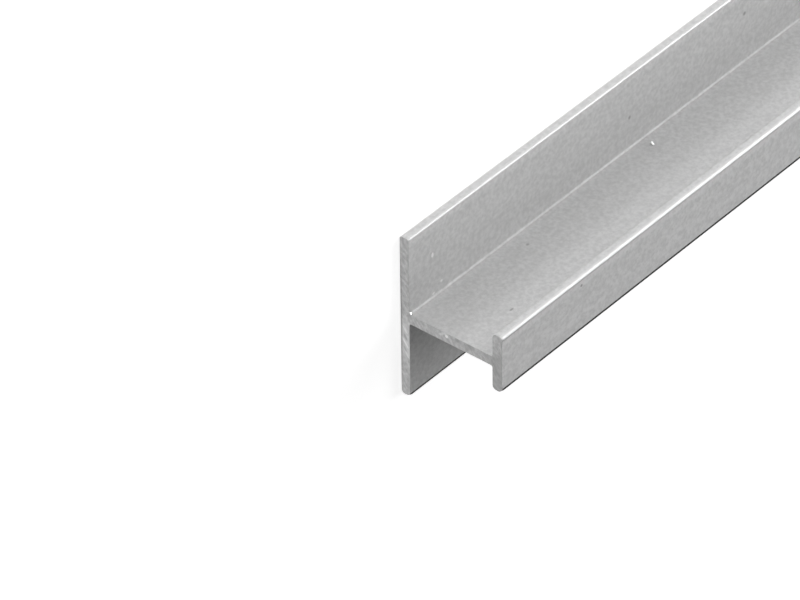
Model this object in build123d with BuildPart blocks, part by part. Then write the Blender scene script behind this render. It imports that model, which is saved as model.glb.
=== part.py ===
from build123d import *
import os

# Connector profile: one length of extruded aluminium H-section with unequal flanges.
# A wide and a narrow flange stand on one web, which is centred on both, so that a board
# or a sheet slides in between the flanges on each side of the web. All sizes are in mm.

# Stock length, and overall depth across the two flanges
profile_length = 1000.0
profile_depth = 15.4

# Widths of the flanges, and walls
wide_flange_width = 23.5
narrow_flange_width = 8.2
wide_flange_wall = 1.35
narrow_flange_wall = 1.5
web_wall = 1.4

# Fillet in each corner where the web meets a flange
junction_radius = 0.3

# Edges of the flange tips: the narrow flange's two channel edges are rounded to lead a
# board in, its outer edges and the wide flange's outer edge at -Y are rounded for the hand,
# and the wide flange's other edges are crisp
lead_in_radius = 0.55
round_edge_radius = 0.5
crisp_edge_radius = 0.3

# The most that one edge's radius takes of its wall, so that a flat stays between two
largest_share_of_wall = 0.45


def edge_radius(radius, wall):
    """A tip edge's radius, limited by the wall that it rounds."""
    return min(radius, largest_share_of_wall * wall)


def corner(sketch, across, up):
    """The corner of the section that stands at this place."""
    return sketch.vertices().sort_by_distance((across, up))[0]


# The section stands across the length. Its first axis runs over the flange widths (+Y),
# its second from the wide flange's outer face to the narrow flange's (+Z).
wide_inner_face = wide_flange_wall
narrow_inner_face = profile_depth - narrow_flange_wall
half_wide = wide_flange_width / 2
half_narrow = narrow_flange_width / 2
half_web = web_wall / 2

lead_in = edge_radius(lead_in_radius, narrow_flange_wall)
wide_round = edge_radius(round_edge_radius, wide_flange_wall)
wide_crisp = edge_radius(crisp_edge_radius, wide_flange_wall)
narrow_round = edge_radius(round_edge_radius, narrow_flange_wall)

with BuildPart() as connector_profile:
    with BuildSketch(Plane.YZ.offset(-profile_length / 2)) as section:
        # Wide flange, with its outer face on the base line
        Rectangle(wide_flange_width, wide_flange_wall, align=(Align.CENTER, Align.MIN))

        # Web, centred, from the wide flange's inner face to the narrow flange's
        with Locations((0, wide_inner_face)):
            Rectangle(web_wall, narrow_inner_face - wide_inner_face, align=(Align.CENTER, Align.MIN))

        # Narrow flange, with its outer face at the full depth
        with Locations((0, profile_depth)):
            Rectangle(narrow_flange_width, narrow_flange_wall, align=(Align.CENTER, Align.MAX))

        for side in (-1, 1):
            # Wide flange's channel edges, then the narrow flange's lead-in and outer edges
            fillet(corner(section, side * half_wide, wide_inner_face), wide_crisp)
            fillet(corner(section, side * half_narrow, narrow_inner_face), lead_in)
            fillet(corner(section, side * half_narrow, profile_depth), narrow_round)

            # Inner corners beside the web
            fillet(corner(section, side * half_web, wide_inner_face), junction_radius)
            fillet(corner(section, side * half_web, narrow_inner_face), junction_radius)

        # Wide flange's outer edges, rounded at -Y and crisp at +Y
        fillet(corner(section, -half_wide, 0), wide_round)
        fillet(corner(section, half_wide, 0), wide_crisp)

    # One straight extrusion, sawn square at both ends
    extrude(amount=profile_length)

connector_profile.part.label = "connector_profile"

os.makedirs("parts", exist_ok=True)
export_step(connector_profile.part, "parts/connector_profile.step")
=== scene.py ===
import math
import random

import bmesh
import bpy
from bpy.props import FloatProperty, FloatVectorProperty, IntProperty, PointerProperty
from mathutils import Matrix, Vector


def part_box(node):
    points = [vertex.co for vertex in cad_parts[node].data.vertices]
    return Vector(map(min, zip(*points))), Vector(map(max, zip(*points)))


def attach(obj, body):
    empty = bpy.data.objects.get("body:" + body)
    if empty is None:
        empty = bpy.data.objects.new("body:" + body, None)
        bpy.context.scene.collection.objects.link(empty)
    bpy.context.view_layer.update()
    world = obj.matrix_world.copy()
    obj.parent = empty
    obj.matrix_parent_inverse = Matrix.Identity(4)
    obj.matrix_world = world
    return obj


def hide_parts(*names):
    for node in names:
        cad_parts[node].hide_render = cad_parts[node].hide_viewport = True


bl_info = {
    "name": "Connector Profile",
    "version": (1, 0, 0),
    "blender": (4, 5, 0),
    "location": "3D Viewport > Sidebar > Profile",
    "description": "Models a length of extruded aluminium H-section with sawn ends, and its studio",
    "category": "Object",
}

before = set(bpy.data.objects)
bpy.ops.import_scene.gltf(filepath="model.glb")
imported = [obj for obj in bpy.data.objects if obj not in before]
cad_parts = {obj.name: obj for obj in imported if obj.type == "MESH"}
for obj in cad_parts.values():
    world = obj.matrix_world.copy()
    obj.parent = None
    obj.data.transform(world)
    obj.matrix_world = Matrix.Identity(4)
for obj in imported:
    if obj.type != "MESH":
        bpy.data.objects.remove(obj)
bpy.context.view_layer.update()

# The frame is in metres, and the sizes below are written in millimetres
MM = 0.001

NODE = "connector_profile"
LOW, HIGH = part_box(NODE)

# The axes: along the stock, across its flanges, and up from the floor
ALONG = Vector((1, 0, 0))
ACROSS = Vector((0, 1, 0))
UP = Vector((0, 0, 1))

# Two places closer than NEAR are the same, and so are two distances closer than ALIKE. A face
# looks along an axis where its normal's part along it is above FACING, and it slants between
# two axes where its normal's parts along both are above SLANTING.
NEAR = 0.002 * MM
ALIKE = 0.0001 * MM
FACING = 0.999
SLANTING = 0.5

# Faces that meet at less than this angle are shaded as one smooth surface
SMOOTH_ANGLE = math.radians(30)

# The stock's finishes, in the order of its material slots
FINISHES = ("skin", "rubbed", "polished", "sawn")

# The saw's marks are drawn at random from this seed. The pitch and the depth of each vary
# between two shares of their settings, and its trough lies between two shares of the pitch.
SAW_SEED = 7
PITCH_SHARES = (0.6, 1.4)
DEPTH_SHARES = (0.2, 1)
TROUGH_SHARES = (0.3, 0.5)

# Sizes of the metal's patterns. The real grain, die lines, scuffs and saw streaks are about a
# tenth of a millimetre wide or finer, less than a pixel of the render, so each is drawn as
# coarse as it needs to show. The cloud is the slow unevenness across a face.
GRAIN_WIDTH = 0.6 * MM
GRAIN_DEPTH = 0.003 * MM
DIE_LINE_WIDTH = 0.9 * MM
DIE_LINE_LENGTH = 225 * MM
CLOUD_WIDTH = 4 * MM
SCUFF_WIDTH = 0.3 * MM
SCUFF_LENGTH = 1.5 * MM
STREAK_WIDTH = 0.4 * MM
STREAK_LENGTH = 0.8 * MM
STREAK_DEPTH = 0.01 * MM

# How much of the skin's pattern the die lines and the cloud make up
DIE_LINE_SHARE = 0.12
CLOUD_SHARE = 0.06

# A soft-edged spot is full up to this share of its reach
SPOT_CORE = 0.4

# Painted light and painted shade: bands of the skin made a little duller or brighter than the
# rest, to stand for the shade and light on those faces. Each has its place in mm from the near
# end, across and up, its reach along those three, and what it multiplies the skin's colour by:
# the web, the wide flange's inner face and its +Y side, then the narrow flange's outer face and
# its +Y side.
SKIN_PAINTED_LIGHT_BANDS = (
    ((500, 0.7, 5.4), (1500, 0.5, 5), 0.91),
    ((500, 1, 1.35), (1500, 8, 0.5), 0.94),
    ((500, 11.6, 1.35), (1500, 1.6, 0.5), 1.10),
    ((500, 0, 15.4), (1500, 7, 0.5), 1.18),
    ((500, 3.8, 15.4), (1500, 1.5, 0.5), 1.12),
)

# Marks of wear and sawing, and on the near end some painted light and shade. Each has its place
# in mm from the near end, across and up, its reach along those three, its turn about the length
# in degrees, its tone, and how strongly it covers.
# On the skin these are dark flecks, then pale specks.
SKIN_MARKS = (
    ((8.28, 0.7, 10.1), (0.48, 0.3, 0.18), 0, "#7C7C7C", 0.45),
    ((19.22, 0.7, 3.75), (0.32, 0.3, 0.26), 0, "#7C7C7C", 0.4),
    ((42.01, 5.31, 1.35), (0.32, 0.36, 0.3), 0, "#7C7C7C", 0.4),
    ((65.05, 8, 1.35), (0.38, 0.38, 0.3), 0, "#7C7C7C", 0.45),
    ((14.82, 2.89, 15.4), (0.28, 0.26, 0.3), 0, "#7C7C7C", 0.5),
    ((4.36, 6.92, 1.35), (0.3, 0.5, 0.3), 0, "#FFFFFF", 0.9),
    ((5.98, 2.14, 1.35), (0.3, 0.26, 0.3), 0, "#FFFFFF", 0.6),
    ((4.48, 1.11, 1.35), (0.36, 0.24, 0.3), 0, "#FFFFFF", 0.7),
)

# On the near end these are a brighter area on the wide flange, which is painted light, a duller
# one on the narrow flange and a dull lower rim along the floor, which are painted shade, then five
# slanted streaks on the wide flange, a bright smear and spot and two dull spots on the web, and a
# dull corner on the narrow flange
SAWN_MARKS_AND_PAINTED_LIGHT = (
    ((0, -3.4, 0.7), (1, 4.4, 1.8), 0, "#FFFFFF", 0.32),
    ((0, -1.6, 14.7), (1, 4.2, 2.6), 0, "#A8A8A8", 0.35),
    ((0, 0, 0), (1, 13, 0.35), 0, "#909090", 0.5),
    ((0, -1.88, 0.63), (1, 0.9, 0.22), -38, "#FFFFFF", 0.5),
    ((0, -3.01, 0.7), (1, 0.7, 0.24), -30, "#A4A4A4", 0.35),
    ((0, -3.95, 0.73), (1, 1.1, 0.22), -35, "#FFFFFF", 0.7),
    ((0, -4.77, 0.62), (1, 0.6, 0.2), -25, "#A4A4A4", 0.3),
    ((0, -5.59, 0.95), (1, 0.8, 0.2), -34, "#FFFFFF", 0.4),
    ((0, 0.4, 6.5), (1, 0.26, 1.1), -31, "#FFFFFF", 0.4),
    ((0, 0.22, 6.99), (1, 0.34, 0.34), 0, "#FFFFFF", 0.9),
    ((0, 0.42, 8.6), (1, 0.34, 0.6), 0, "#9A9A9A", 0.35),
    ((0, 0.3, 10.45), (1, 0.55, 0.95), 0, "#9A9A9A", 0.3),
    ((0, 3.29, 15.3), (1, 0.4, 0.3), 0, "#909090", 0.3),
)

# The studio's far-off soft lamps: name, the direction that each stands in, the width in degrees
# that it shows in the sky, and its strength
LAMPS = (
    ("key", (0.85, 0.35, 0.40), 40, 0.95),
    ("over", (0.80, 0.05, 0.60), 40, 0.63),
    ("high", (0.10, 0.55, 0.80), 50, 0.37),
    ("side", (0.00, 0.95, 0.30), 50, 0.66),
    ("far_end", (0.95, 0.10, 0.30), 50, 0.55),
    ("flank", (-0.30, -0.94, 0.10), 50, 0.70),
)
WHITE = (1, 1, 1, 1)


def linear(hex_colour):
    """An sRGB hex colour such as #C8C8C8 as linear red, green and blue."""
    levels = [int(hex_colour[i:i + 2], 16) / 255 for i in (1, 3, 5)]
    return [c / 12.92 if c <= 0.04045 else ((c + 0.055) / 1.055) ** 2.4 for c in levels]


class ProfileSizes(bpy.types.PropertyGroup):
    """Sizes of the H-section, its edges and its sawn ends"""

    length: FloatProperty(
        name="Length", description="Stock length",
        default=HIGH.x - LOW.x, unit="LENGTH")
    depth: FloatProperty(
        name="Depth", description="From the wide flange's outer face to the narrow flange's",
        default=HIGH.z - LOW.z, unit="LENGTH")
    wide_width: FloatProperty(
        name="Wide flange", description="Width of the flange that the stock lies on",
        default=HIGH.y - LOW.y, unit="LENGTH")
    narrow_width: FloatProperty(
        name="Narrow flange", description="Width of the upper flange",
        default=8.2 * MM, unit="LENGTH")
    wide_wall: FloatProperty(
        name="Wide flange wall", description="Thickness of the wide flange",
        default=1.35 * MM, unit="LENGTH")
    narrow_wall: FloatProperty(
        name="Narrow flange wall", description="Thickness of the narrow flange",
        default=1.5 * MM, unit="LENGTH")
    web_wall: FloatProperty(
        name="Web wall", description="Thickness of the web between the flanges",
        default=1.4 * MM, unit="LENGTH")
    junction_radius: FloatProperty(
        name="Junction radius", description="Fillet where the web meets a flange",
        default=0.3 * MM, unit="LENGTH")
    lead_in_radius: FloatProperty(
        name="Lead-in radius", description="The narrow flange's two channel edges",
        default=0.55 * MM, unit="LENGTH")
    round_radius: FloatProperty(
        name="Round edge radius", description="The narrow flange's outer edges, the wide one's at -Y",
        default=0.5 * MM, unit="LENGTH")
    crisp_radius: FloatProperty(
        name="Crisp edge radius", description="The wide flange's other three edges",
        default=0.3 * MM, unit="LENGTH")
    edge_steps: IntProperty(
        name="Edge steps", description="Flat strips across each rounded edge",
        default=10, min=2)
    strip: FloatProperty(
        name="Polished strip", description="Width polished beside each flange's upper edge at -Y",
        default=0.16 * MM, unit="LENGTH")
    rim_break: FloatProperty(
        name="Rim break", description="Worn break round the rim of a sawn end",
        default=0.015 * MM, unit="LENGTH")
    burr_reach: FloatProperty(
        name="Burr reach", description="How far the near end's burrs reach along the stock",
        default=0.35 * MM, unit="LENGTH")
    burr_spread: FloatProperty(
        name="Burr spread", description="How far a broken burr reaches round its corner",
        default=0.49 * MM, unit="LENGTH")
    burr_depth: FloatProperty(
        name="Burr depth", description="How deep a broken burr goes at its corner",
        default=0.2 * MM, unit="LENGTH")
    burr_bulge: FloatProperty(
        name="Burr bulge", description="Rise of the junction's burr, where 1 is a straight bridge",
        default=1.5)
    speck: FloatProperty(
        name="Speck", description="Width and height of the raised speck on the web",
        default=0.36 * MM, unit="LENGTH")
    speck_along: FloatProperty(
        name="Speck along", description="The speck's distance from the near end",
        default=44.35 * MM, unit="LENGTH")
    speck_up: FloatProperty(
        name="Speck up", description="The speck's height above the floor",
        default=3.15 * MM, unit="LENGTH")
    speck_lean: FloatProperty(
        name="Speck lean", description="How far its upper edge leans back, as a share of its height",
        default=0.9, subtype="FACTOR", min=0, max=1)
    saw_pitch: FloatProperty(
        name="Saw mark pitch", description="Mean distance between two saw marks",
        default=0.8 * MM, unit="LENGTH")
    saw_depth: FloatProperty(
        name="Saw mark depth", description="Deepest saw mark",
        default=0.012 * MM, unit="LENGTH")
    saw_slant: FloatProperty(
        name="Saw mark slant", description="Turn of the marks away from the flanges' faces",
        default=math.radians(34), subtype="ANGLE")


class ProfileFinish(bpy.types.PropertyGroup):
    """Colours of the metal, and the roughness of each of its surfaces"""

    skin_light: FloatVectorProperty(
        name="Skin, light", description="Lighter grain of the extruded skin",
        default=linear("#E9E9E9"), subtype="COLOR", min=0, max=1)
    skin_dark: FloatVectorProperty(
        name="Skin, dark", description="Darker grain of the extruded skin",
        default=linear("#DCDCDC"), subtype="COLOR", min=0, max=1)
    sawn_light: FloatVectorProperty(
        name="Sawn, light", description="Crests of the saw streaks",
        default=linear("#E3E3E3"), subtype="COLOR", min=0, max=1)
    sawn_dark: FloatVectorProperty(
        name="Sawn, dark", description="Troughs of the saw streaks",
        default=linear("#BFBFBF"), subtype="COLOR", min=0, max=1)
    skin_roughness: FloatProperty(
        name="Skin roughness", description="The extruded faces",
        default=0.76, subtype="FACTOR", min=0, max=1)
    sawn_roughness: FloatProperty(
        name="Sawn roughness", description="The two ends",
        default=0.76, subtype="FACTOR", min=0, max=1)
    rubbed_roughness: FloatProperty(
        name="Rubbed roughness", description="The flanges' worn edges at +Y, and the speck",
        default=0.51, subtype="FACTOR", min=0, max=1)
    polished_roughness: FloatProperty(
        name="Polished roughness", description="The flanges' worn edges at -Y, and the junction's burr",
        default=0.2, subtype="FACTOR", min=0, max=1)


class StudioSettings(bpy.types.PropertyGroup):
    """Camera, floor and light"""

    camera_lens: FloatProperty(
        name="Lens", description="Focal length on a 36 mm sensor",
        default=261.93, unit="CAMERA")
    camera_place: FloatVectorProperty(
        name="Camera place", description="From the near end's middle, on the floor",
        default=(-410.566 * MM, 425.370 * MM, 346.789 * MM), subtype="TRANSLATION")
    camera_aim: FloatVectorProperty(
        name="Camera aim", description="Direction that the camera looks along",
        default=(0.60018, -0.61863, -0.50703), subtype="DIRECTION")
    camera_roll: FloatProperty(
        name="Camera roll", description="Turn of the camera about its aim",
        default=math.radians(116.7545), subtype="ANGLE")
    floor_size: FloatProperty(
        name="Floor size", description="Side of the studio floor",
        default=80.0, unit="LENGTH")
    floor_colour: FloatVectorProperty(
        name="Floor colour", description="Matte paint of the studio floor",
        default=linear("#D3D3D3"), subtype="COLOR", min=0, max=1)
    floor_lift: FloatProperty(
        name="Floor lift", description="White added to the lit floor where the camera sees it",
        default=0.765)
    floor_in_metal: FloatProperty(
        name="Floor in metal", description="Level of the white floor in the metal's reflections",
        default=1.05)
    # The dark patch under and beside the stock is painted shade that only the metal's reflections show
    painted_shade_in_metal: FloatProperty(
        name="Card in metal", description="Level of the dark card in the metal's reflections",
        default=0.15)
    painted_shade_width: FloatProperty(
        name="Card width", description="Width of the dark card under and beside the stock",
        default=60 * MM, unit="LENGTH")
    fill: FloatProperty(
        name="Fill", description="Strength of the soft fill light from all round",
        default=0.03)


def is_at(vector, across, up):
    """True for a point of the section at this distance across the flanges and above the floor."""
    return abs(vector.y - across) < NEAR and abs(vector.z - up) < NEAR


def middle(face):
    """The middle of a face."""
    return face.calc_center_median()


def looks(face, axis):
    """True for a face that looks along an axis."""
    return face.normal.dot(axis) > FACING


def pick(kind, passes):
    """Selects the vertices, edges or faces in edit mode that pass a test, and nothing else."""
    bpy.ops.mesh.select_mode(type=kind)
    bpy.ops.mesh.select_all(action="DESELECT")
    shape = bmesh.from_edit_mesh(bpy.context.edit_object.data)
    parts = {"VERT": shape.verts, "EDGE": shape.edges, "FACE": shape.faces}[kind]
    for part in parts:
        if passes(part):
            part.select_set(True)
    bmesh.update_edit_mesh(bpy.context.edit_object.data)


def push(offset):
    """Moves what is selected."""
    bpy.ops.transform.translate(value=offset)


def pull_out(offset):
    """Extrudes the selected faces by an offset."""
    bpy.ops.mesh.extrude_region_move(TRANSFORM_OT_translate={"value": offset})


def slice_selected(point, normal):
    """Cuts the selected faces along a plane."""
    bpy.ops.mesh.bisect(plane_co=point, plane_no=normal)


def bevel_selected(radius, steps):
    """Rounds the selected edges."""
    bpy.ops.mesh.bevel(
        offset=radius, segments=steps, profile=0.5, affect="EDGES", clamp_overlap=False)


def finish_selected(finish):
    """Gives the selected faces one of the stock's finishes."""
    bpy.context.object.active_material_index = FINISHES.index(finish)
    bpy.ops.object.material_slot_assign()


def rough_section(sizes):
    """The stock with sharp edges: a slab, the web pulled out of it, the narrow flange out of that."""
    bpy.ops.object.select_all(action="DESELECT")
    bpy.ops.mesh.primitive_cube_add(
        size=1,
        location=(0, 0, sizes.wide_wall / 2),
        scale=(sizes.length, sizes.wide_width, sizes.wide_wall))
    bpy.ops.object.transform_apply(location=True, rotation=True, scale=True)
    stock = bpy.context.object
    stock.name = "profile_stock"
    stock.data.name = "profile_stock"
    bpy.ops.object.mode_set(mode="EDIT")
    half_web = sizes.web_wall / 2
    for side in (-1, 1):
        bpy.ops.mesh.select_all(action="SELECT")
        slice_selected((0, side * half_web, 0), ACROSS)
    pick("FACE", lambda f: looks(f, UP) and abs(middle(f).y) < half_web)
    pull_out((0, 0, sizes.depth - sizes.narrow_wall - sizes.wide_wall))
    pull_out((0, 0, sizes.narrow_wall))
    narrow_middle = sizes.depth - sizes.narrow_wall / 2
    for side in (-1, 1):
        pick("FACE", lambda f: looks(f, side * ACROSS) and abs(middle(f).z - narrow_middle) < NEAR)
        pull_out((0, side * (sizes.narrow_width - sizes.web_wall) / 2, 0))

    # The cuts through the wide flange leave seams in flat faces, which are dissolved
    bpy.ops.mesh.select_all(action="SELECT")
    bpy.ops.mesh.dissolve_limited(angle_limit=math.radians(0.5))
    return stock


def round_edge(sizes, across, up, radius, finish):
    """Rounds the long edge that stands at this place of the section."""
    pick("EDGE", lambda e: all(is_at(v.co, across, up) for v in e.verts))
    bevel_selected(radius, sizes.edge_steps)
    finish_selected(finish)


def round_long_edges(sizes):
    """Rounds the flange edges and the corners beside the web, each to its own radius."""
    half_wide = sizes.wide_width / 2
    half_narrow = sizes.narrow_width / 2
    half_web = sizes.web_wall / 2
    narrow_inner = sizes.depth - sizes.narrow_wall
    for side in (-1, 1):
        wide_outer = sizes.round_radius if side < 0 else sizes.crisp_radius
        worn = "polished" if side < 0 else "rubbed"
        round_edge(sizes, side * half_wide, 0, wide_outer, worn)
        round_edge(sizes, side * half_wide, sizes.wide_wall, sizes.crisp_radius, worn)
        round_edge(sizes, side * half_narrow, sizes.depth, sizes.round_radius, worn)
        round_edge(sizes, side * half_narrow, narrow_inner, sizes.lead_in_radius, "skin")
        round_edge(sizes, side * half_web, sizes.wide_wall, sizes.junction_radius, "skin")
        round_edge(sizes, side * half_web, narrow_inner, sizes.junction_radius, "skin")


def polish_strip(sizes, flat_edge, up):
    """Polishes a strip of a flange's upper face along its -Y side, where the flat ends."""
    strip_end = sizes.strip - flat_edge
    pick("FACE", lambda f: looks(f, UP) and abs(middle(f).z - up) < NEAR and middle(f).y < sizes.web_wall)
    slice_selected((0, strip_end, 0), ACROSS)
    pick("FACE", lambda f: looks(f, UP) and abs(middle(f).z - up) < NEAR and middle(f).y < strip_end)
    finish_selected("polished")


def break_burr(sizes, end_x, across, up):
    """Breaks the burr off a corner of the near end. The nearer a point of the rim is to the
    corner, the further it falls back into the flange."""
    corner = Vector((end_x, across, up))
    inwards_and_down = Vector((0, 1, -1)).normalized()
    shape = bmesh.from_edit_mesh(bpy.context.edit_object.data)

    # Rounded to 0.0001 mm, so that points that are equally far from the corner move as one
    gaps = {round((v.co - corner).length, 7) for v in shape.verts if abs(v.co.x - end_x) < NEAR}
    for gap in sorted(gaps):
        if gap < sizes.burr_spread:
            pick("VERT", lambda v: abs(v.co.x - end_x) < NEAR
                 and abs((v.co - corner).length - gap) < ALIKE)
            push(sizes.burr_depth * (1 - gap / sizes.burr_spread) * inwards_and_down)


def bridge_junction(sizes, end_x):
    """Bridges the +Y corner between the web and the wide flange with a burr, which rises out of
    the fillet towards the end and is polished, so that it catches the light."""
    radius = sizes.junction_radius
    for step in range(1, sizes.edge_steps):
        angle = math.pi / 2 * step / sizes.edge_steps
        across = sizes.web_wall / 2 + radius - radius * math.cos(angle)
        up = sizes.wide_wall + radius - radius * math.sin(angle)
        pick("VERT", lambda v: abs(v.co.x - end_x) < NEAR and is_at(v.co, across, up))
        straight_bridge = radius * (math.cos(angle) + math.sin(angle) - 1) / 2
        rise = straight_bridge * sizes.burr_bulge
        push((0, rise, rise))
    pick("FACE", lambda f: middle(f).x < end_x + sizes.burr_reach
         and f.normal.y > SLANTING and f.normal.z > SLANTING
         and middle(f).y < sizes.web_wall and middle(f).z < sizes.depth / 2)
    finish_selected("polished")


def wear_near_end(sizes):
    """Breaks the burr off two corners of the near end, and leaves one that bridges a third."""
    end_x = -sizes.length / 2

    # A cut round the stock keeps this wear within the last of its length
    bpy.ops.mesh.select_all(action="SELECT")
    slice_selected((end_x + sizes.burr_reach, 0, 0), ALONG)
    break_burr(sizes, end_x, -sizes.wide_width / 2, sizes.wide_wall)
    break_burr(sizes, end_x, -sizes.narrow_width / 2, sizes.depth)
    bridge_junction(sizes, end_x)


def raise_speck(sizes):
    """Raises a wedge of metal on the web's +Y face, whose upper side glints."""
    half = sizes.speck / 2
    spot = Vector((sizes.speck_along - sizes.length / 2, sizes.web_wall / 2, sizes.speck_up))
    for offset, axis in ((-half, ALONG), (half, ALONG), (-half, UP), (half, UP)):
        pick("FACE", lambda f: looks(f, ACROSS) and abs(middle(f).y - spot.y) < NEAR)
        slice_selected(spot + offset * axis, axis)
    pick("FACE", lambda f: looks(f, ACROSS) and (middle(f) - spot).length < NEAR)
    pull_out((0, sizes.speck, 0))
    pick("VERT", lambda v: is_at(v.co, spot.y + sizes.speck, spot.z + half))
    push((0, -sizes.speck_lean * sizes.speck, 0))
    pick("FACE", lambda f: (middle(f) - spot).length < sizes.speck)
    finish_selected("rubbed")


def saw_end(sizes, end, draw):
    """Breaks the rim of the sawn end at -X or +X, then cuts the saw's marks into its face."""
    end_x = end * sizes.length / 2
    outwards = end * ALONG
    pick("EDGE", lambda e: any(looks(f, outwards) for f in e.link_faces)
         and not all(looks(f, outwards) for f in e.link_faces))
    bevel_selected(sizes.rim_break, 2)
    pick("FACE", lambda f: looks(f, outwards))
    finish_selected("sawn")

    # The marks run slanted across the end, crest beside trough, at uneven distances
    over_marks = Vector((0, math.sin(sizes.saw_slant), math.cos(sizes.saw_slant)))
    reach = (sizes.wide_width / 2) * over_marks.y
    distance = -reach
    troughs = []
    while distance < reach + sizes.depth * over_marks.z:
        trough = distance + draw.uniform(*TROUGH_SHARES) * sizes.saw_pitch
        for cut in (distance, trough):
            pick("FACE", lambda f: looks(f, outwards))
            slice_selected(over_marks * cut + end_x * ALONG, over_marks)
        troughs.append(trough)
        distance += draw.uniform(*PITCH_SHARES) * sizes.saw_pitch
    for trough in troughs:
        pick("VERT", lambda v: abs(v.co.x - end_x) < NEAR and abs(v.co.dot(over_marks) - trough) < NEAR)
        push((-end * draw.uniform(*DEPTH_SHARES) * sizes.saw_depth, 0, 0))


def add_node(tree, kind, inputs=None, **settings):
    """Adds a node to a tree with its settings, and with values or links at its inputs."""
    node = tree.nodes.new(kind)
    for name, value in settings.items():
        setattr(node, name, value)
    for name, value in (inputs or {}).items():
        if isinstance(value, bpy.types.NodeSocket):
            tree.links.new(value, node.inputs[name])
        else:
            node.inputs[name].default_value = value
    return node


def new_material(name):
    """An empty material, its node tree and its output node."""
    material = bpy.data.materials.new(name)
    material.use_nodes = True
    tree = material.node_tree
    tree.nodes.clear()
    return material, tree, add_node(tree, "ShaderNodeOutputMaterial")


def add_spot(tree, coordinates, place, reach, turn, outside, inside):
    """A value that goes from one outside an oval spot to another inside it, with a soft edge."""
    from_end, across, up = place
    in_spot = add_node(tree, "ShaderNodeMapping", {
        "Vector": coordinates, "Location": (LOW.x + from_end * MM, across * MM, up * MM),
        "Rotation": (math.radians(turn), 0, 0), "Scale": Vector(reach) * MM},
        vector_type="TEXTURE")
    distance = add_node(tree, "ShaderNodeVectorMath", {0: in_spot.outputs[0]}, operation="LENGTH")
    return add_node(tree, "ShaderNodeMapRange", {
        "Value": distance.outputs["Value"], "From Min": 1.0, "From Max": SPOT_CORE,
        "To Min": outside, "To Max": inside}, interpolation_type="SMOOTHSTEP").outputs[0]


def add_marks(tree, coordinates, colour, marks):
    """Lays marks over a colour, which on the sawn end include painted light and shade."""
    for place, reach, turn, tone, cover in marks:
        share = add_spot(tree, coordinates, place, reach, turn, 0, cover)
        colour = add_node(tree, "ShaderNodeMix", {
            "Factor": share, "A": colour, "B": [*linear(tone), 1]}, data_type="RGBA").outputs["Result"]
    return colour


def add_painted_light_bands(tree, coordinates, colour, bands):
    """Paints light and shade into a colour in bands, brightening or dulling it."""
    for place, reach, gain in bands:
        factor = add_spot(tree, coordinates, place, reach, 0, 1, gain)
        colour = add_node(tree, "ShaderNodeVectorMath", {
            0: colour, "Scale": factor}, operation="SCALE").outputs[0]
    return colour


def extruded_aluminium(finish):
    """Mill-finish aluminium as it leaves the die: a dull silver-grey with a fine even grain and
    faint straight lines drawn along the stock, which rise and fade over some 200 mm."""
    material, tree, output = new_material("extruded_mill_aluminium")
    coordinates = add_node(tree, "ShaderNodeTexCoord").outputs["Object"]
    drawn = add_node(tree, "ShaderNodeMapping", {
        "Vector": coordinates, "Scale": (DIE_LINE_WIDTH / DIE_LINE_LENGTH, 1, 1)})
    lines = add_node(tree, "ShaderNodeTexNoise", {
        "Vector": drawn.outputs[0], "Scale": 1 / DIE_LINE_WIDTH, "Detail": 3.0, "Roughness": 0.6})
    grain = add_node(tree, "ShaderNodeTexNoise", {
        "Vector": coordinates, "Scale": 1 / GRAIN_WIDTH, "Detail": 3.0, "Roughness": 0.65})
    cloud = add_node(tree, "ShaderNodeTexNoise", {
        "Vector": coordinates, "Scale": 1 / CLOUD_WIDTH, "Detail": 2.0, "Roughness": 0.5})
    lined = add_node(tree, "ShaderNodeMix", {
        "Factor": DIE_LINE_SHARE, "A": grain.outputs[0], "B": lines.outputs[0]})
    mixed = add_node(tree, "ShaderNodeMix", {
        "Factor": CLOUD_SHARE, "A": lined.outputs[0], "B": cloud.outputs[0]})
    tone = add_node(tree, "ShaderNodeMapRange", {
        "Value": mixed.outputs[0], "From Min": 0.38, "From Max": 0.62})
    colour = add_node(tree, "ShaderNodeMix", {
        "Factor": tone.outputs[0], "A": [*finish.skin_dark, 1], "B": [*finish.skin_light, 1]},
        data_type="RGBA")
    # Painted light and painted shade in bands over the skin's grain
    painted_bands = add_painted_light_bands(tree, coordinates, colour.outputs["Result"], SKIN_PAINTED_LIGHT_BANDS)
    marks_and_painted_light = add_marks(tree, coordinates, painted_bands, SKIN_MARKS)
    bump = add_node(tree, "ShaderNodeBump", {
        "Height": mixed.outputs[0], "Distance": GRAIN_DEPTH, "Strength": 1.0})
    metal = add_node(tree, "ShaderNodeBsdfPrincipled", {
        "Base Color": marks_and_painted_light, "Metallic": 1.0, "Roughness": finish.skin_roughness,
        "Normal": bump.outputs[0]})
    tree.links.new(metal.outputs[0], output.inputs["Surface"])
    return material


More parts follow.
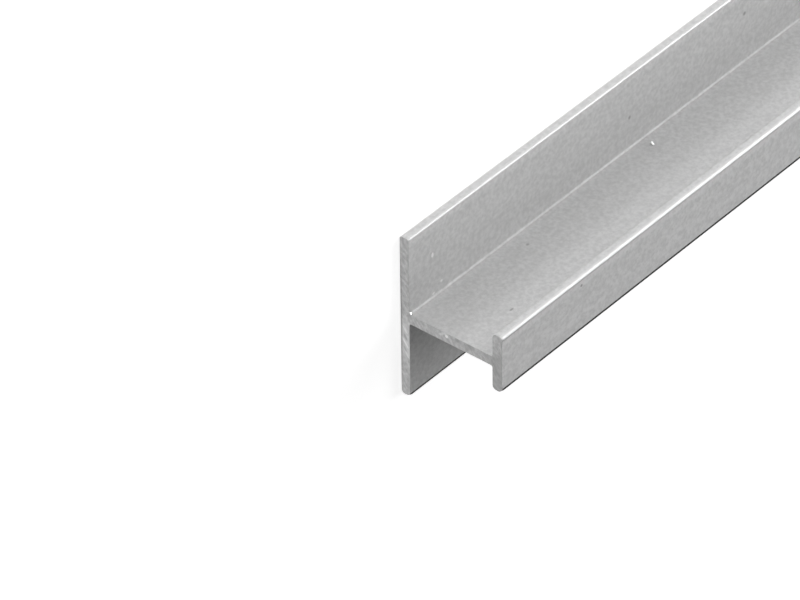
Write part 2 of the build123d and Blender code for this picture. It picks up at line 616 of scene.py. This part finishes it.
def worn_aluminium(finish, name, roughness):
    """Extruded aluminium rubbed smoother than its faces by handling: the skin's colour with short
    faint scuffs along the stock and no grain, and a gloss that draws bright and dark lines."""
    material, tree, output = new_material(name)
    coordinates = add_node(tree, "ShaderNodeTexCoord").outputs["Object"]
    drawn = add_node(tree, "ShaderNodeMapping", {
        "Vector": coordinates, "Scale": (SCUFF_WIDTH / SCUFF_LENGTH, 1, 1)})
    scuffs = add_node(tree, "ShaderNodeTexNoise", {
        "Vector": drawn.outputs[0], "Scale": 1 / SCUFF_WIDTH, "Detail": 2.0, "Roughness": 0.6})
    tone = add_node(tree, "ShaderNodeMapRange", {
        "Value": scuffs.outputs[0], "From Min": 0.3, "From Max": 0.7})
    colour = add_node(tree, "ShaderNodeMix", {
        "Factor": tone.outputs[0], "A": [*finish.skin_dark, 1], "B": [*finish.skin_light, 1]},
        data_type="RGBA")
    metal = add_node(tree, "ShaderNodeBsdfPrincipled", {
        "Base Color": colour.outputs["Result"], "Metallic": 1.0, "Roughness": roughness})
    tree.links.new(metal.outputs[0], output.inputs["Surface"])
    return material


def sawn_aluminium(finish, slant):
    """Aluminium cut by a fine-toothed saw: bright crests and dull torn troughs, in short streaks
    that lie along the saw's marks."""
    material, tree, output = new_material("sawn_aluminium")
    coordinates = add_node(tree, "ShaderNodeTexCoord").outputs["Object"]
    turned = add_node(tree, "ShaderNodeMapping", {
        "Vector": coordinates, "Rotation": (-slant, 0, 0),
        "Scale": (1, STREAK_LENGTH / STREAK_WIDTH, 1)}, vector_type="TEXTURE")
    streaks = add_node(tree, "ShaderNodeTexNoise", {
        "Vector": turned.outputs[0], "Scale": 1 / STREAK_WIDTH, "Detail": 3.0, "Roughness": 0.6})
    tone = add_node(tree, "ShaderNodeMapRange", {
        "Value": streaks.outputs[0], "From Min": 0.3, "From Max": 0.7})
    colour = add_node(tree, "ShaderNodeMix", {
        "Factor": tone.outputs[0], "A": [*finish.sawn_dark, 1], "B": [*finish.sawn_light, 1]},
        data_type="RGBA")
    # The saw's marks, with painted light and shade on two areas of the end and along its lower rim
    marks_and_painted_light = add_marks(tree, coordinates, colour.outputs["Result"], SAWN_MARKS_AND_PAINTED_LIGHT)
    bump = add_node(tree, "ShaderNodeBump", {
        "Height": streaks.outputs[0], "Distance": STREAK_DEPTH, "Strength": 1.0})
    metal = add_node(tree, "ShaderNodeBsdfPrincipled", {
        "Base Color": marks_and_painted_light, "Metallic": 1.0, "Roughness": finish.sawn_roughness,
        "Normal": bump.outputs[0]})
    tree.links.new(metal.outputs[0], output.inputs["Surface"])
    return material


class PROFILE_OT_add_stock(bpy.types.Operator):
    """Models the extruded H-section with its rounded edges and two sawn ends"""

    bl_idname = "profile.add_stock"
    bl_label = "Add Profile Stock"

    def execute(self, context):
        sizes = context.scene.profile_sizes
        finish = context.scene.profile_finish
        stock = rough_section(sizes)
        materials = {
            "skin": extruded_aluminium(finish),
            "rubbed": worn_aluminium(finish, "rubbed_edge_aluminium", finish.rubbed_roughness),
            "polished": worn_aluminium(finish, "polished_edge_aluminium", finish.polished_roughness),
            "sawn": sawn_aluminium(finish, sizes.saw_slant),
        }
        for name in FINISHES:
            stock.data.materials.append(materials[name])
        round_long_edges(sizes)
        polish_strip(sizes, sizes.wide_width / 2 - sizes.crisp_radius, sizes.wide_wall)
        polish_strip(sizes, sizes.narrow_width / 2 - sizes.round_radius, sizes.depth)
        wear_near_end(sizes)
        raise_speck(sizes)
        draw = random.Random(SAW_SEED)
        for end in (-1, 1):
            saw_end(sizes, end, draw)
        bpy.ops.object.mode_set(mode="OBJECT")
        bpy.ops.object.shade_smooth_by_angle(angle=SMOOTH_ANGLE)
        bpy.ops.object.modifier_add(type="WEIGHTED_NORMAL")
        stock.modifiers[-1].keep_sharp = True
        bpy.ops.object.modifier_apply(modifier=stock.modifiers[-1].name)
        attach(stock, "root")
        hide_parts(NODE)
        return {"FINISHED"}


def add_floor(settings):
    """A plain pale floor, lifted to white where the camera sees it."""
    bpy.ops.object.select_all(action="DESELECT")
    bpy.ops.mesh.primitive_plane_add(size=settings.floor_size)
    floor = bpy.context.object
    floor.name = "studio_floor"
    floor.data.name = "studio_floor"
    material, tree, output = new_material("matte_studio_floor")
    path = add_node(tree, "ShaderNodeLightPath").outputs
    paint = add_node(tree, "ShaderNodeBsdfDiffuse", {"Color": [*settings.floor_colour, 1]})
    lift = add_node(tree, "ShaderNodeMath", {
        0: path["Is Camera Ray"], 1: settings.floor_lift}, operation="MULTIPLY")
    glow = add_node(tree, "ShaderNodeEmission", {"Color": WHITE, "Strength": lift.outputs[0]})
    seen = add_node(tree, "ShaderNodeAddShader", {0: paint.outputs[0], 1: glow.outputs[0]})

    # In the metal's reflections the floor is white, with a dark patch of painted shade under and
    # beside the stock from its near end on, so that the polished lower edges draw dark lines
    on_floor = add_node(tree, "ShaderNodeSeparateXYZ", {
        0: add_node(tree, "ShaderNodeTexCoord").outputs["Object"]}).outputs
    past_end = add_node(tree, "ShaderNodeMath", {0: on_floor[0], 1: LOW.x}, operation="GREATER_THAN")
    beside = add_node(tree, "ShaderNodeMath", {
        0: on_floor[1], 1: -settings.painted_shade_width / 2, 2: settings.painted_shade_width / 2}, operation="COMPARE")
    painted_shade = add_node(tree, "ShaderNodeMath", {
        0: past_end.outputs[0], 1: beside.outputs[0]}, operation="MULTIPLY")
    level = add_node(tree, "ShaderNodeMapRange", {
        "Value": painted_shade.outputs[0], "To Min": settings.floor_in_metal, "To Max": settings.painted_shade_in_metal})
    sweep = add_node(tree, "ShaderNodeEmission", {"Color": WHITE, "Strength": level.outputs[0]})
    mixed = add_node(tree, "ShaderNodeMixShader", {
        0: path["Is Glossy Ray"], 1: seen.outputs[0], 2: sweep.outputs[0]})
    tree.links.new(mixed.outputs[0], output.inputs["Surface"])
    floor.data.materials.append(material)


def add_lamp(name, towards, spread, strength):
    """A far-off soft lamp that shines from a direction."""
    light = bpy.data.lights.new(name, "SUN")
    light.energy = strength
    light.angle = math.radians(spread)
    lamp = bpy.data.objects.new(name, light)
    lamp.rotation_euler = Vector(towards).to_track_quat("Z", "Y").to_euler()
    bpy.context.scene.collection.objects.link(lamp)


def add_world(settings):
    """White where the camera looks past the floor, and a soft fill for everything else."""
    world = bpy.data.worlds.new("studio")
    bpy.context.scene.world = world
    world.use_nodes = True
    tree = world.node_tree
    tree.nodes.clear()
    seen = add_node(tree, "ShaderNodeLightPath").outputs["Is Camera Ray"]
    fill = add_node(tree, "ShaderNodeBackground", {"Color": WHITE, "Strength": settings.fill})
    white = add_node(tree, "ShaderNodeBackground", {"Color": WHITE, "Strength": 1.0})
    mixed = add_node(tree, "ShaderNodeMixShader", {0: seen, 1: fill.outputs[0], 2: white.outputs[0]})
    add_node(tree, "ShaderNodeOutputWorld", {"Surface": mixed.outputs[0]})


def add_camera(settings):
    """The camera at the photograph's place, aim and roll."""
    data = bpy.data.cameras.new("camera")
    data.lens = settings.camera_lens
    data.sensor_width = 36
    data.clip_start = 0.01
    data.clip_end = 200
    camera = bpy.data.objects.new("camera", data)
    near_end = Vector((LOW.x, (LOW.y + HIGH.y) / 2, LOW.z))
    camera.location = near_end + Vector(settings.camera_place)
    aim = Vector(settings.camera_aim).to_track_quat("-Z", "Y").to_matrix()
    camera.rotation_euler = (aim @ Matrix.Rotation(settings.camera_roll, 3, "Z")).to_euler()
    bpy.context.scene.collection.objects.link(camera)
    bpy.context.scene.camera = camera


class PROFILE_OT_add_studio(bpy.types.Operator):
    """Adds the pale floor, the soft lamps, the fill light and the camera"""

    bl_idname = "profile.add_studio"
    bl_label = "Add Studio"

    def execute(self, context):
        settings = context.scene.profile_studio
        add_floor(settings)
        for name, towards, spread, strength in LAMPS:
            add_lamp(name, towards, spread, strength)
        add_world(settings)
        add_camera(settings)
        context.scene.view_settings.view_transform = "Standard"
        return {"FINISHED"}


class PROFILE_PT_tools(bpy.types.Panel):
    """The profile's operators and settings"""

    bl_idname = "PROFILE_PT_tools"
    bl_label = "Connector Profile"
    bl_space_type = "VIEW_3D"
    bl_region_type = "UI"
    bl_category = "Profile"

    def draw(self, context):
        for operator in OPERATORS:
            self.layout.operator(operator.bl_idname)
        for name, group in SETTINGS:
            for setting in group.__annotations__:
                self.layout.prop(getattr(context.scene, name), setting)


SETTINGS = (
    ("profile_sizes", ProfileSizes),
    ("profile_finish", ProfileFinish),
    ("profile_studio", StudioSettings),
)
OPERATORS = (PROFILE_OT_add_stock, PROFILE_OT_add_studio)


def register():
    """Registers the settings, the operators and the panel."""
    for name, group in SETTINGS:
        bpy.utils.register_class(group)
        setattr(bpy.types.Scene, name, PointerProperty(type=group))
    for operator in OPERATORS:
        bpy.utils.register_class(operator)
    bpy.utils.register_class(PROFILE_PT_tools)


def unregister():
    """Takes all of it out again."""
    bpy.utils.unregister_class(PROFILE_PT_tools)
    for operator in reversed(OPERATORS):
        bpy.utils.unregister_class(operator)
    for name, group in reversed(SETTINGS):
        delattr(bpy.types.Scene, name)
        bpy.utils.unregister_class(group)


def main():
    """Makes the piece and its studio."""
    register()
    bpy.ops.profile.add_stock()
    bpy.ops.profile.add_studio()


if __name__ == "__main__":
    main()
